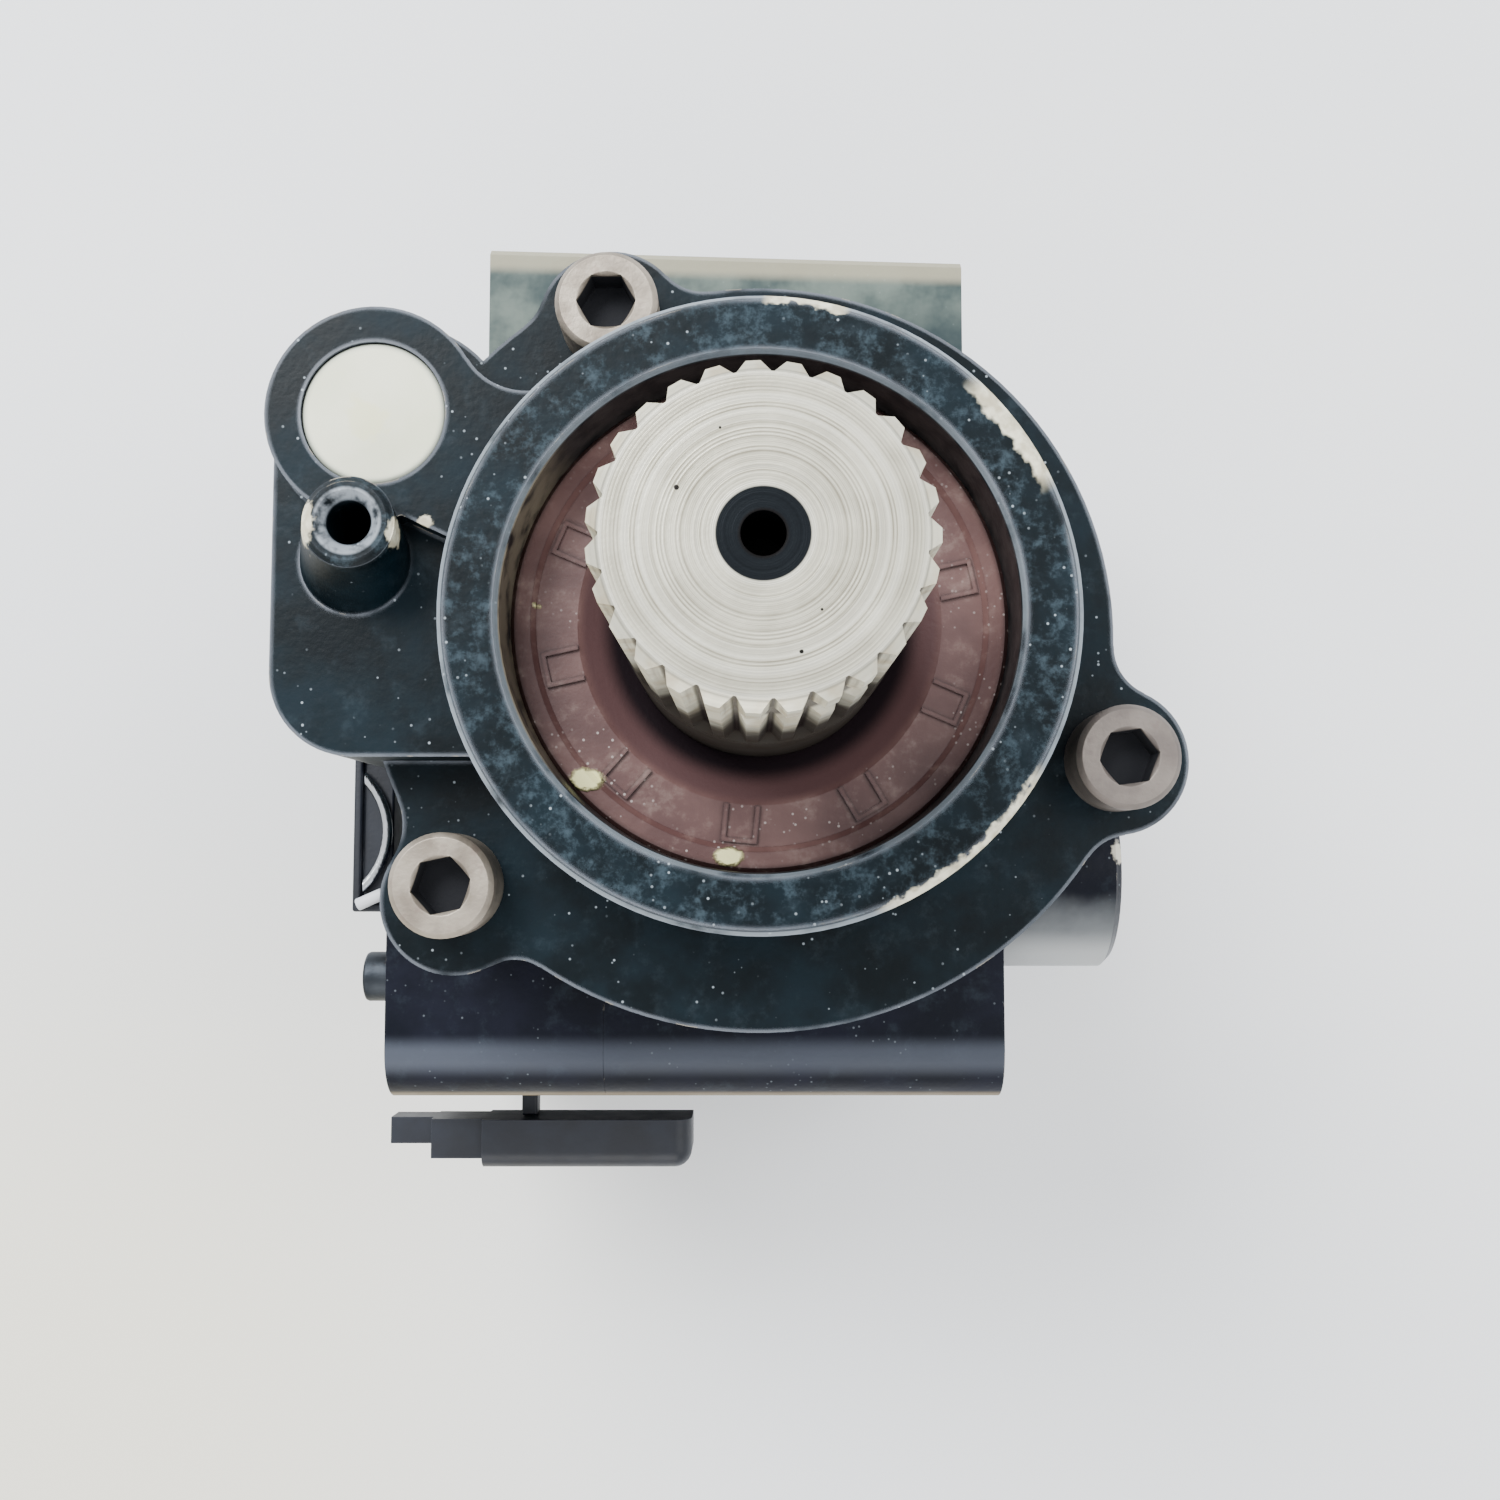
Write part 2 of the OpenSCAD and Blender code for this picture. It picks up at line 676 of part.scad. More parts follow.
module sensor_board() color("#2f5b3c") {
  translate([lobe_p[0], lobe_p[1], 0]) {
    translate([0, 0, 0.6]) cylinder(r = plug_r, h = 1.6);
    translate([-2, -2, -0.4]) cube([4, 4, 1.1]);
    translate([-5.6, -0.8, 2.1]) cube([2.2, 1.6, 1.2]);
  }
}

// ---- Motor --------------------------------------------------------------------

module motor_housing() color("#20282e") {
  difference() {
    union() {
      translate([0, 0, block_rear]) linear_extrude(block_joint - block_rear) upper_outline(upper_y0);
      // flange that closes the gear housing, with the pinion's boss
      translate([0, 0, flange_z0]) cylinder(r = gear_body_r, h = block_joint - flange_z0);
      translate([lobe_p[0], lobe_p[1], flange_z0]) cylinder(r = lobe_base_r, h = block_joint - flange_z0);
      translate([lobe_p[0], lobe_p[1], pinion_z0 - 2]) cylinder(r = 7.5, h = block_joint - pinion_z0 + 2);
      // collar round the rear bearing
      translate([0, 0, block_joint - 1]) cylinder(r = REAR[3] + 2.5, h = plate_z0 - 0.4 - block_joint + 1);
    }
    // stator bore, bearing seats and room for the rear hub
    translate([0, 0, block_rear - 1]) cylinder(r = stator_out, h = stator_room_z1 - block_rear + 1);
    translate([0, 0, motor_mid_1 - 3.5]) cylinder(r = MOTOR[3], h = 7);
    translate([0, 0, motor_mid_1 - 4]) cylinder(r = shaft_room_r, h = 20);
    translate([0, 0, hub_z0 - 2.2]) cylinder(r = hub_room_r, h = 20);
    translate([0, 0, rear_mid - REAR[4] / 2]) cylinder(r = REAR[3], h = 20);
    translate([0, 0, block_rear - 1]) cylinder(r = shaft_room_r, h = 45);
    translate([lobe_p[0], lobe_p[1], pinion_z0 - 0.2]) cylinder(r = pinion_bush_r, h = 20);
    // empty pocket above the motor
    block([upper_x0 + wall, 24, block_rear - 1], [upper_x1 - wall, 39.5, flange_z0 - 1]);
    for (p = [BOLTS[0], BOLTS[1]]) translate([p[0], p[1], block_rear - 1]) cylinder(r = bolt_r + 0.2, h = 60);
  }
}

module rotor_shaft() color("#c6c8c9") {
  // sun gear
  translate([0, 0, planet_z0 - 0.4]) linear_extrude(planet_z1 - planet_z0 + 0.8)
    gear_outline(sun_z, planet_m, thinning, 4);
  translate([0, 0, motor_mid_2 - 4]) cylinder(r = shaft_r, h = planet_z0 - motor_mid_2 + 4);
}

module rotor_core() color("#5c6266") ring(shaft_r, rotor_r, stator_z0, stator_z1);

module rotor_magnets() color("#8a8f92") {
  difference() {
    ring(rotor_r, magnet_r, stator_z0 + 0.5, stator_z1 - 0.5);
    for (k = [0 : 3]) rotate([0, 0, 45 * k]) translate([-20, -0.5, stator_z0 - 1]) cube([40, 1, 20]);
  }
}

module stator_core() color("#6c6f72") {
  difference() {
    ring(stator_in, stator_out, stator_z0, stator_z1);
    for (k = [0 : slots - 1]) {
      rotate([0, 0, 360 * (k + 0.5) / slots]) {
        translate([14.6, -2.2, stator_z0 - 1]) cube([3.6, 4.4, 20]);
        translate([13, -0.7, stator_z0 - 1]) cube([3, 1.4, 20]);
      }
    }
  }
}

module stator_windings() color("#b4642e") {
  for (k = [0 : slots - 1]) {
    rotate([0, 0, 360 * (k + 0.5) / slots])
      block([14.8, -2, stator_z0 - 2.5], [18, 2, stator_z1 + 1.5]);
  }
}

module motor_bearing_outer_rings() color("#c3c6c8") {
  race(MOTOR, MOTOR[2], MOTOR[3], motor_mid_1);
  race(MOTOR, MOTOR[2], MOTOR[3], motor_mid_2);
}

module motor_bearing_inner_rings() color("#c3c6c8") {
  race(MOTOR, MOTOR[0], MOTOR[1], motor_mid_1);
  race(MOTOR, MOTOR[0], MOTOR[1], motor_mid_2);
}

module motor_bearing_balls() color("#d8dadb") {
  balls(MOTOR, motor_mid_1);
  balls(MOTOR, motor_mid_2);
}

// ---- Control housing, connector and small outside pieces ------------------------

// Side view of the control housing, Y to the right and Z up, with a rounded front edge
module lower_section() {
  difference() {
    translate([lower_y0, block_rear]) square([lower_y1 - lower_y0, block_front - block_rear]);
    difference() {
      translate([lower_y0 - 1, block_front - lower_round]) square([lower_round + 1, lower_round + 1]);
      translate([lower_y0 + lower_round, block_front - lower_round]) circle(r = lower_round);
    }
  }
}

// Stretch of the control housing between two X positions
module lower_body(x0, x1) {
  difference() {
    translate([x0, 0, 0]) rotate([90, 0, 90]) linear_extrude(x1 - x0) lower_section();
    translate([0, 0, flange_z0]) cylinder(r = gear_body_r, h = 60);
    block([max(x0 + wall, lower_x0 + wall), lower_y0 + wall, block_rear - 1],
      [min(x1 - wall, lower_x1 - wall), lower_y1 - wall, block_joint - wall]);
  }
}

module control_housing() color("#1d242a") {
  difference() {
    lower_body(seam_x, lower_x1);
    block([seam_x - 1, lower_y0 + wall, block_rear - 1], [seam_x + wall + 1, lower_y1 - wall, block_joint - wall]);
    // hole behind the side cap
    translate([20, cap_y - 6.5, cap_z]) rotate([0, 90, 0]) cylinder(r = 4, h = 20);
    translate([BOLTS[3][0], BOLTS[3][1], block_rear - 1]) cylinder(r = bolt_r, h = 58);
  }
}

module terminal_housing() color("#1f262c") {
  difference() {
    lower_body(lower_x0, seam_x);
    block([seam_x - wall - 1, lower_y0 + wall, block_rear - 1], [seam_x + 1, lower_y1 - wall, block_joint - wall]);
    translate([BOLTS[2][0], BOLTS[2][1], block_rear - 1]) cylinder(r = bolt_r, h = 58);
  }
}

board_y = -33;

module control_board() color("#2f5b3c") {
  block([lower_x0 + wall + 0.6, board_y, block_rear + 4], [lower_x1 - wall - 0.6, board_y + 1.6, block_joint - 5]);
}

module board_components() color("#33373a") {
  for (k = [0 : 3]) block([-36 + 15 * k, board_y - 2, -82], [-26 + 15 * k, board_y, -70]);
  for (k = [0 : 4]) translate([-34 + 13 * k, board_y, -60]) rotate([90, 0, 0]) cylinder(r = 3.5, h = 7);
  for (k = [0 : 5]) block([-34 + 10 * k, board_y - 1.2, -68], [-32 + 10 * k, board_y, -66.8]);
}

module connector_body() color("#1b2026") {
  difference() {
    union() {
      block([conn_x0, conn_y0 + conn_r, conn_z0], [conn_x1, conn_y1, conn_z1 - conn_r]);
      block([conn_x0, conn_y0, conn_z0], [conn_x1 - conn_r, conn_y1, conn_z1 - conn_r]);
      block([conn_x0, conn_y0 + conn_r, conn_z0], [conn_x1 - conn_r, conn_y1, conn_z1]);
      translate([conn_x1 - conn_r, conn_y0 + conn_r, conn_z0]) cylinder(r = conn_r, h = conn_z1 - conn_z0 - conn_r);
      translate([conn_x0, conn_y0 + conn_r, conn_z1 - conn_r]) rotate([0, 90, 0])
        cylinder(r = conn_r, h = conn_x1 - conn_r - conn_x0);
      translate([conn_x1 - conn_r, conn_y0 + conn_r, conn_z1 - conn_r]) rotate([-90, 0, 0])
        cylinder(r = conn_r, h = conn_y1 - conn_y0 - conn_r);
      translate([conn_x1 - conn_r, conn_y0 + conn_r, conn_z1 - conn_r]) sphere(r = conn_r);
      // two steps of the locking side
      block([-41, conn_y0 + 1.2, -51], [conn_x0 + 1, conn_y1, -45]);
      block([-46.4, conn_y0 + 2.8, -50.5], [-40, conn_y1, -46.5]);
    }
    // socket
    block([conn_x0 + conn_wall, conn_y0 + conn_wall, conn_z0 - 1],
      [conn_x1 - conn_wall, conn_y1 - conn_wall, conn_z1 - conn_floor]);
    // holes of the pins
    for (k = [0 : 5]) translate([pin_x0 + pin_pitch * k, (conn_y0 + conn_y1) / 2, conn_z0])
      cylinder(r = 0.5, h = 6.5);
  }
}

module connector_neck() color("#2a3036") {
  block([-30, conn_y1, -50.5], [-28, lower_y0, -47.5]);
}

module connector_pins() color("#c9a24a") {
  for (k = [0 : 5]) translate([pin_x0 + pin_pitch * k, (conn_y0 + conn_y1) / 2, conn_z0 + 2])
    cylinder(r = 0.5, h = 4.5);
}

module side_cap() color("#3b4148") {
  difference() {
    translate([0, cap_y, cap_z]) rotate([0, 90, 0]) {
      translate([0, 0, lower_x1 + 0.8]) cylinder(r = cap_r, h = cap_x1 - lower_x1 - 1.6);
      translate([0, 0, cap_x1 - 0.8 - eps]) cylinder(r1 = cap_r, r2 = cap_r - 0.8, h = 0.8);
    }
    translate([0, 0, -60]) cylinder(r = gear_body_r + 0.1, h = 60);
  }
}

module cap_gasket() color("#15181a") {
  difference() {
    translate([lower_x1, cap_y, cap_z]) rotate([0, 90, 0]) cylinder(r = cap_r - 0.6, h = 0.8);
    translate([0, 0, -60]) cylinder(r = gear_body_r + 0.1, h = 60);
  }
}

clip_x0 = -46.8;
clip_top = -27;
clip_groove = 0.8;
wire_r = 0.6;
clip_pin_r = 0.7;
stud_len = 4;

module clip_body() color("#262d33") {
  difference() {
    block([clip_x0, -28.2, clip_top - 7], [lower_x0, -9.7, clip_top]);
    // groove beside the raised left edge
    block([clip_x0 + 1, -27.2, clip_top - clip_groove], [lower_x0 + 1, -10.7, clip_top + 1]);
  }
}

module clip_wire() color("#c9ccd0") {
  translate([-51.7, -19, clip_top - clip_groove + wire_r]) difference() {
    rotate_extrude() translate([8.8, 0]) circle(r = wire_r, $fn = 24);
    translate([-14, -10, -5]) cube([20.2, 20, 10]);
  }
}

module clip_pin() color("#e4e6ea") {
  translate([-46, -27.4, clip_top + clip_pin_r + 0.02]) rotate([0, 90, 24]) cylinder(r = clip_pin_r, h = 3.2);
}

module side_stud() color("#7e8489") {
  translate([lower_x0 - stud_len, -36, -33]) rotate([0, 90, 0]) cylinder(r = 2.9, h = stud_len);
}

// ---- Rear end --------------------------------------------------------------------

module rear_outline() {
  upper_outline(upper_y0);
  translate([lower_x0, lower_y0]) square([lower_x1 - lower_x0, lower_y1 - lower_y0]);
}

module rear_gasket() color("#33383a") {
  translate([0, 0, block_rear - 0.6]) linear_extrude(0.6) difference() {
    rear_outline();
    circle(r = stator_out - 3);
    translate([upper_x0 + wall + 2, 26]) square([upper_x1 - upper_x0 - 2 * wall - 4, 12]);
    translate([lower_x0 + wall + 2, lower_y0 + wall + 2])
      square([lower_x1 - lower_x0 - 2 * wall - 4, lower_y1 - lower_y0 - 2 * wall - 4]);
    for (p = BOLTS) translate(p) circle(r = bolt_r + 0.2);
  }
}

module rear_cover() color("#20282e") {
  difference() {
    union() {
      translate([0, 0, rear_face]) linear_extrude(rear_t - 0.6) rear_outline();
      translate([0, 0, block_rear - 1]) cylinder(r = 15, h = motor_mid_2 + 3.5 - block_rear + 1);
    }
    translate([0, 0, motor_mid_2 - 3.5]) cylinder(r = MOTOR[3], h = 20);
    translate([0, 0, motor_mid_2 - 4.6]) cylinder(r = 8, h = 20);
    for (p = BOLTS) translate([p[0], p[1], rear_face - 1]) {
      cylinder(r = bolt_r + 0.2, h = 20);
      cylinder(r = bolt_head_r + 0.2, h = 3.4);
    }
  }
}

module tie_bolts() color("#8d9093") {
  for (p = BOLTS) translate([p[0], p[1], rear_face + 2.4]) mirror([0, 0, 1])
    cap_screw(bolt_r, bolt_head_r, 2.2, p[1] > 0 ? 56 : 44, 3);
}

front_cover();
bore_plug();
shaft_seal();
seal_case();
seal_garter_spring();
cover_screws();
cover_gasket();
bearing_circlip();
front_bearing_outer_ring();
front_bearing_inner_ring();
front_bearing_balls();
front_bearing_cage();
output_shaft();
takeoff_gear();
carrier_rear_plate();
planet_pins();
planet_gear_1();
planet_gear_2();
planet_gear_3();
planet_bush_1();
planet_bush_2();
planet_bush_3();
ring_gear();
gear_housing();
rear_bearing_outer_ring();
rear_bearing_inner_ring();
rear_bearing_balls();
takeoff_pinion();
pinion_bushes();
encoder_magnet();
sensor_board();
motor_housing();
rotor_shaft();
rotor_core();
rotor_magnets();
stator_core();
stator_windings();
motor_bearing_outer_rings();
motor_bearing_inner_rings();
motor_bearing_balls();
control_housing();
terminal_housing();
control_board();
board_components();
connector_body();
connector_neck();
connector_pins();
side_cap();
cap_gasket();
clip_body();
clip_wire();
clip_pin();
side_stud();
rear_gasket();
rear_cover();
tie_bolts();
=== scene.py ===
import json
import math

import bmesh
import bpy
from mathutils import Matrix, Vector

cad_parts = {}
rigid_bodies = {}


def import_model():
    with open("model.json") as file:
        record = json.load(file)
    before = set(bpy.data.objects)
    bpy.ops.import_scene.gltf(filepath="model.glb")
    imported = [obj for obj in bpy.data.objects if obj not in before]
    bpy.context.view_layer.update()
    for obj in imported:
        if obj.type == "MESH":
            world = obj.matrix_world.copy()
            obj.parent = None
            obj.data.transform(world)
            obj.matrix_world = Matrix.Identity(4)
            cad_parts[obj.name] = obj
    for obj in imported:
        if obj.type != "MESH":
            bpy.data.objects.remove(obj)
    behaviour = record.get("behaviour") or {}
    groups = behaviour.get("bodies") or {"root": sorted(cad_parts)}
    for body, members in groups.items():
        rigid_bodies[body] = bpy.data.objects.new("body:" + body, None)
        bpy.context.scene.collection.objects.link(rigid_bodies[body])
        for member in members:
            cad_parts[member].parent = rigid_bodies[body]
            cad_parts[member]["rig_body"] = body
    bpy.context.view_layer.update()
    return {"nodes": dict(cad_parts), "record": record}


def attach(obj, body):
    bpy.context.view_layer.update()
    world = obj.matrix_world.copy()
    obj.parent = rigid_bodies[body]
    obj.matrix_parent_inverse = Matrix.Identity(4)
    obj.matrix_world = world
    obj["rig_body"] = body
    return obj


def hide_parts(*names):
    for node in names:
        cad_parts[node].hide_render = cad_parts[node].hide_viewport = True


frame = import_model()
NODES = frame["nodes"]
MM = 0.001
BODY = {n: o["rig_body"] for n, o in NODES.items()}
SLOT = {s["node"]: s["material_slot"] for s in frame["record"]["subparts"]}


# ---- Shader building ----------------------------------------------------------


def lin(r, g, b):
    """A colour given as 0-255 display values, as linear RGBA."""

    def linear(v):
        return v / 255 / 12.92 if v <= 10.3 else ((v / 255 + 0.055) / 1.055) ** 2.4

    return (linear(r), linear(g), linear(b), 1.0)


class Mat:
    """A node material. Methods return sockets, so that they can be nested."""

    def __init__(self, name, rough=0.5, metal=0.0, spec=0.5):
        self.m = bpy.data.materials.new(name)
        self.m.use_nodes = True
        self.t = self.m.node_tree
        self.t.nodes.clear()
        self.out = self.new("ShaderNodeOutputMaterial")
        self.b = self.new("ShaderNodeBsdfPrincipled")
        self.t.links.new(self.b.outputs[0], self.out.inputs[0])
        self.b.inputs["Roughness"].default_value = rough
        self.b.inputs["Metallic"].default_value = metal
        self.b.inputs["Specular IOR Level"].default_value = spec
        coords = self.new("ShaderNodeTexCoord").outputs
        self.co = coords["Object"]
        self.nrm = coords["Normal"]
        self.last_bump = None

    def new(self, kind):
        return self.t.nodes.new(kind)

    def put(self, socket, v):
        if isinstance(v, bpy.types.NodeSocket):
            self.t.links.new(v, socket)
        else:
            socket.default_value = v

    def math(self, op, a, b=0.0, clamp=False):
        n = self.new("ShaderNodeMath")
        n.operation = op
        n.use_clamp = clamp
        for s, v in zip(n.inputs, (a, b)):
            self.put(s, v)
        return n.outputs[0]

    def vec(self, op, a, b=(0, 0, 0)):
        n = self.new("ShaderNodeVectorMath")
        n.operation = op
        self.put(n.inputs[0], a)
        if op != "LENGTH":
            self.put(n.inputs[1], b)
        return n.outputs["Value"] if op in ("LENGTH", "DOT_PRODUCT") else n.outputs[0]

    def sep(self, v=None):
        n = self.new("ShaderNodeSeparateXYZ")
        self.put(n.inputs[0], self.co if v is None else v)
        return n.outputs

    def comb(self, x, y, z):
        n = self.new("ShaderNodeCombineXYZ")
        for s, v in zip(n.inputs, (x, y, z)):
            self.put(s, v)
        return n.outputs[0]

    def mix(self, f, a, b):
        n = self.new("ShaderNodeMix")
        n.data_type = "RGBA"
        self.put(n.inputs[0], f)
        self.put(n.inputs[6], a)
        self.put(n.inputs[7], b)
        return n.outputs[2]

    def blend(self, f, a, b):
        n = self.new("ShaderNodeMix")
        n.data_type = "FLOAT"
        self.put(n.inputs[0], f)
        self.put(n.inputs[2], a)
        self.put(n.inputs[3], b)
        return n.outputs[0]

    def noise(self, size_mm, detail=3.0, rough=0.5, co=None):
        n = self.new("ShaderNodeTexNoise")
        self.put(n.inputs["Vector"], self.co if co is None else co)
        n.inputs["Scale"].default_value = 1000.0 / size_mm
        n.inputs["Detail"].default_value = detail
        n.inputs["Roughness"].default_value = rough
        return n.outputs["Fac"]

    def cells(self, size_mm):
        n = self.new("ShaderNodeTexVoronoi")
        self.put(n.inputs["Vector"], self.co)
        n.inputs["Scale"].default_value = 1000.0 / size_mm
        return n.outputs["Distance"]

    def step(self, x, e0, e1, lo=0.0, hi=1.0):
        n = self.new("ShaderNodeMapRange")
        n.interpolation_type = "SMOOTHSTEP"
        self.put(n.inputs["Value"], x)
        for s, v in zip(("From Min", "From Max", "To Min", "To Max"), (e0, e1, lo, hi)):
            n.inputs[s].default_value = v
        return n.outputs[0]

    def mul(self, *v):
        r = v[0]
        for x in v[1:]:
            r = self.math("MULTIPLY", r, x)
        return r

    def add(self, a, b):
        return self.math("ADD", a, b, clamp=True)

    def color(self, v):
        self.put(self.b.inputs["Base Color"], v)

    def rough(self, v):
        self.put(self.b.inputs["Roughness"], v)

    def metal(self, v):
        self.put(self.b.inputs["Metallic"], v)

    def bump(self, h, depth_mm):
        n = self.new("ShaderNodeBump")
        self.put(n.inputs["Height"], h)
        n.inputs["Distance"].default_value = depth_mm * MM
        if self.last_bump:
            self.t.links.new(self.last_bump, n.inputs["Normal"])
        self.last_bump = n.outputs[0]
        self.t.links.new(self.last_bump, self.b.inputs["Normal"])

    def edges(self, radius_mm, low, high):
        """1 where the surface turns sharply within a radius, 0 on flat ground."""
        n = self.new("ShaderNodeBevel")
        n.samples = 4
        n.inputs["Radius"].default_value = radius_mm * MM
        g = self.new("ShaderNodeNewGeometry")
        d = self.vec("DOT_PRODUCT", n.outputs[0], g.outputs["Normal"])
        return self.step(self.math("SUBTRACT", 1.0, d), low, high)

    def spot(self, p, r_mm, soft=0.35, wob=0.5, size=0.6, flat=None):
        """1 within a ragged distance of point p (mm)."""
        c = self.vec("SUBTRACT", self.co, tuple(v * MM for v in p))
        if flat:
            c = self.vec("MULTIPLY", c, flat)
        d = self.vec("LENGTH", c)
        ragged = self.mul(self.math("SUBTRACT", self.noise(size, 2.0), 0.5), -wob * 2 * r_mm * MM)
        d = self.math("ADD", d, ragged)
        return self.step(d, r_mm * MM, r_mm * (1 - soft) * MM)


# ---- Materials ---------------------------------------------------------------


TAN = (190, 182, 166)
EDGE_HIGHLIGHT = (150, 156, 166)
POST_FOOT = (-0.0376, 0.0074)
POST_TOP = (-0.0372, 0.0081)
LOBE = (-0.036276, 0.019532)
SHAFT_TOP_MM = 45.2
SCREWS = ((-0.0148, 0.0315), (-0.0299, -0.0247), (0.0349, -0.0126))


def from_axis(m, centre):
    """Distance in metres from an upright axis through a point (x, y)."""
    x, y, _ = m.sep()
    return m.vec("LENGTH", m.comb(m.math("SUBTRACT", x, centre[0]), m.math("SUBTRACT", y, centre[1]), 0.0))


def paint(name, base, light, dust, chips, edge_highlight_amount):
    """Dark baked paint with a fine grain, painted edge highlights, worn corners, smudges and dust."""
    m = Mat(name, spec=0.16)
    cloud = m.noise(9, 4.0, 0.6)
    fine = m.noise(0.7, 3.0)
    c = m.mix(m.step(cloud, 0.35, 0.7), lin(*base), lin(*light))
    smear = m.noise(3.5, 5.0, 0.7)
    c = m.mix(m.mul(m.step(smear, 0.50, 0.78), 0.13), c, lin(84, 100, 110))
    off_post = m.step(from_axis(m, POST_FOOT), 0.0050, 0.0060, 0.12, 1.0)
    up = m.step(m.sep(m.nrm)[2], 0.2, 0.75)
    front = m.step(m.sep()[2], -0.020, -0.004, 0.15, 1.0)
    # painted edge highlight: rounded edges lightened as though catching the light, weaker deeper down and
    # near the post
    e = m.mul(m.edges(0.75, 0.015, 0.11), m.step(m.noise(6, 2.0), 0.22, 0.5), off_post, front, edge_highlight_amount)
    c = m.mix(e, c, lin(*EDGE_HIGHLIGHT))
    bare = m.mul(m.edges(0.3, 0.12, 0.35), m.step(m.noise(2.6, 4.0), 0.62 - chips * 0.1, 0.67 - chips * 0.1))
    c = m.mix(bare, c, lin(*TAN))
    grit = m.mul(m.step(m.cells(1.1), 0.15, 0.07), m.step(m.noise(4, 2.0), 0.46, 0.62))
    specks = m.mul(grit, m.blend(up, 0.12, 1.0), dust)
    c = m.mix(specks, c, lin(190, 202, 210))
    return m, c, fine, cloud, bare, specks


def finish_paint(m, c, fine, cloud, bare, specks, rough, grain):
    m.color(c)
    r = m.blend(m.step(cloud, 0.3, 0.7), rough - 0.06, rough + 0.08)
    m.rough(m.blend(m.add(bare, specks), r, 0.55))
    m.bump(fine, grain)
    return m.m


def polar(m):
    x, y, z = m.sep()
    return m.math("ARCTAN2", y, x), m.vec("LENGTH", m.comb(x, y, 0.0)), z


def between(m, v, a, b, soft):
    return m.mul(m.step(v, a, a + soft), m.step(v, b, b - soft))


def black_casting():
    m, c, fine, cloud, bare, specks = paint("black_casting", (1, 10, 15), (9, 27, 35), 0.65, 0.25, 0.7)
    ang, rad, z = polar(m)
    x, y, _ = m.sep()
    deg = m.math("MULTIPLY", ang, 180 / math.pi)
    ragged = m.math("MULTIPLY", m.math("SUBTRACT", m.noise(1.6, 4.0), 0.5), 0.0022)
    r2 = m.math("ADD", rad, ragged)
    top = m.step(z, 0.0118, 0.0126)
    # streaks and rubbed film on the ring's face
    film = m.mul(m.step(m.noise(1.6, 6.0, 0.75), 0.46, 0.72), m.step(z, 0.0126, 0.0132), 0.3)
    c = m.mix(film, c, lin(96, 116, 128))
    # worn places on the pilot ring's outer edge
    wear = m.mul(between(m, deg, 22, 49, 5), m.step(r2, 0.0272, 0.0277))
    wear = m.add(wear, m.mul(between(m, deg, -70, -28, 6), m.step(r2, 0.0283, 0.0286)))
    wear = m.add(wear, m.mul(between(m, deg, 73, 90, 2), m.step(r2, 0.0282, 0.0285)))
    wear = m.mul(wear, top, m.step(rad, 0.0296, 0.0294))
    # thin painted highlights along the ring's two edges
    ring_edge_highlight = m.mul(between(m, rad, 0.02865, 0.0296, 0.0001), m.step(z, 0.0126, 0.0129), 0.6)
    inner_edge_highlight = m.mul(m.step(rad, 0.02405, 0.0239), m.step(z, 0.0128, 0.0131), 0.35)
    c = m.mix(m.mul(m.add(ring_edge_highlight, inner_edge_highlight), m.step(m.noise(5, 3.0), 0.25, 0.5)), c, lin(158, 168, 176))
    # bore wall: painted shade keeps it dark all round, with bare machined metal showing only on the left,
    # its lit side
    wall = m.mul(m.step(rad, 0.02365, 0.02355), m.step(z, -0.001, 0.0))
    tan = m.mix(m.step(m.noise(1.2, 3.0), 0.3, 0.7), lin(236, 232, 208), lin(190, 182, 156))
    left = m.step(x, -0.017, -0.0215)
    wall_shade_and_metal = m.mix(m.step(m.noise(2.2, 4.0), 0.35, 0.65), lin(24, 26, 28), lin(48, 46, 46))
    wall_shade_and_metal = m.mix(m.mul(left, m.step(m.noise(3, 4.0), 0.3, 0.55)), wall_shade_and_metal, lin(122, 114, 98))
    c = m.mix(wall, c, wall_shade_and_metal)
    c = m.mix(wear, c, tan)
    # front face of the block behind: paler with painted reflection, with a painted tan highlight along its
    # top edge and painted shade on its right part
    deep = m.mul(m.step(z, -0.0262, -0.0256), m.step(z, -0.0235, -0.0242), m.step(y, 0.010, 0.014),
                 m.step(m.sep(m.nrm)[2], 0.4, 0.6))
    block_face_sheen = m.mix(m.step(m.noise(8, 4.0, 0.6), 0.35, 0.68), lin(62, 76, 76), lin(112, 124, 116))
    shade = m.mul(m.step(x, 0.006, 0.020), m.step(y, 0.046, 0.038), 0.7)
    block_face_sheen = m.mix(shade, block_face_sheen, lin(34, 48, 54))
    slope = m.math("ADD", y, m.mul(x, 0.0288))
    block_face_sheen = m.mix(m.mul(m.step(slope, 0.0455, 0.0470), 0.8), block_face_sheen, lin(176, 170, 146))
    c = m.mix(m.mul(deep, 0.92), c, block_face_sheen)
    # nicks on the post and beside it
    spots = m.spot((-41.0, 8.0, 12.8), 2.0, flat=(1.9, 0.8, 0.6))
    for p, r, flat in (((-33.1, 7.2, 12.6), 1.5, (1.6, 0.9, 0.7)), ((-31.2, 9.1, 9.0), 0.8, None),
                       ((-40.0, 4.4, 8.0), 0.9, (1.0, 1.0, 0.5))):
        spots = m.add(spots, m.spot(p, r, flat=flat))
    c = m.mix(spots, c, tan)
    # painted highlight on the lead-in of the post's bore
    d = from_axis(m, POST_TOP)
    lead_in_highlight = m.mul(between(m, d, 0.00195, 0.00325, 0.0003), m.step(z, 0.0128, 0.0132))
    lead_in_highlight = m.mul(lead_in_highlight, m.step(m.noise(1.6, 3.0), 0.3, 0.55))
    c = m.mix(m.mul(lead_in_highlight, 0.65), c, lin(170, 178, 186))
    bare = m.add(m.add(bare, wear), spots)
    return finish_paint(m, c, fine, cloud, bare, specks, 0.44, 0.03)


